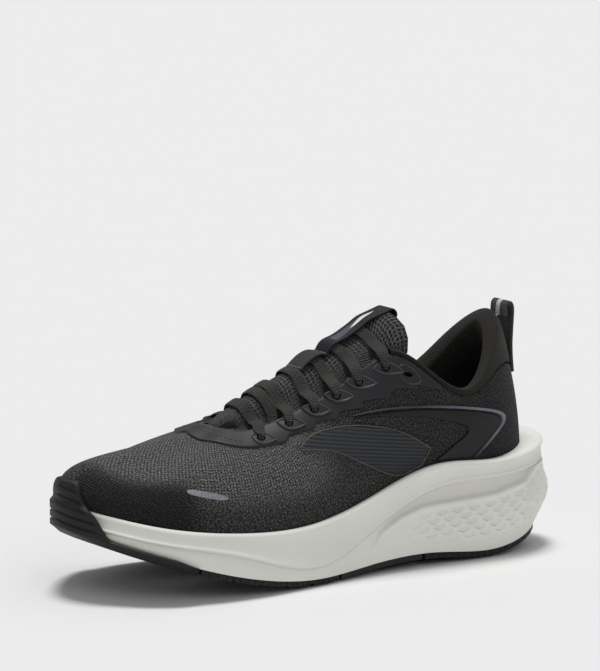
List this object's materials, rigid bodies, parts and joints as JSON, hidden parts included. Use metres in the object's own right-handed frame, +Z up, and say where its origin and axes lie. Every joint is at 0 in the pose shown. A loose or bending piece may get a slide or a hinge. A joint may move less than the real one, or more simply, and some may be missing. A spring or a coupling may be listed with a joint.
{
  "type": "running shoe",
  "caption": "Left low-cut running shoe with a knit upper, flat lacing through raised eyelet patches, padded collar, heel pull tab, flared foam midsole and a ribbed rubber toe bumper.",
  "frame": {"origin": "on the ground, under the centre of the shoe's box", "axes": "+Z up; the toe points along -X and the heel along +X; the outer (lateral) side faces -Y"},
  "size_m": [0.2938, 0.11, 0.1315],
  "materials": {
    "knit": "matte engineered knit",
    "film": "thin satin film",
    "rubber": "matte",
    "foam": "matte moulded foam",
    "lining": "soft woven lining",
    "lace": "flat ribbed braid",
    "navy": "ribbed",
    "grey": "satin reflective",
    "board": "matte board",
    "plastic": "satin",
    "trim": "woven webbing"
  },
  "bodies": {
    "shoe": {"midsole_carrier": "foam", "midsole_cushion": "foam", "strobel_board": "board", "outsole_toe_wrap": "rubber", "shank_plate": "plastic", "outsole_forefoot_lateral": "rubber", "outsole_forefoot_medial": "rubber", "outsole_heel_lateral": "rubber", "outsole_heel_medial": "rubber", "upper_knit": "knit", "toe_puff": "plastic", "heel_counter": "plastic", "padded_collar": "lining", "eyestay_film": "film", "side_fin_lateral": "navy", "side_fin_medial": "navy", "heel_film_lateral": "film", "heel_film_medial": "film", "heel_piping_lateral": "trim", "heel_piping_medial": "trim", "toe_badge": "grey", "pull_tab": "trim", "tongue_lower": "knit", "lace_keeper": "navy", "tongue_label": "navy", "lace": "lace", "aglet_lower": "plastic", "aglet_upper": "plastic", "eyelet_patch_lateral_1": "film", "eyelet_patch_lateral_2": "film", "eyelet_patch_lateral_3": "film", "eyelet_patch_lateral_4": "film", "eyelet_patch_lateral_5": "film", "eyelet_patch_lateral_6": "film", "eyelet_patch_medial_1": "film", "eyelet_patch_medial_2": "film", "eyelet_patch_medial_3": "film", "eyelet_patch_medial_4": "film", "eyelet_patch_medial_5": "film", "eyelet_patch_medial_6": "film"},
    "tongue_tip": {"tongue_top": "knit", "tongue_label_top": "navy"},
    "sockliner": {"insole": "lining"}
  },
  "joints": [
    {"name": "tongue_flex", "type": "hinge", "parent": "shoe", "child": "tongue_tip", "pos_m": [0.03947, -0.00134, 0.10203], "axis": [0, 1, 0], "range_deg": [0, 25]},
    {"name": "insole_lift", "type": "hinge", "parent": "shoe", "child": "sockliner", "pos_m": [-0.12713, 0.00266, 0.03893], "axis": [0, -1, 0], "range_deg": [0, 5]}
  ]
}
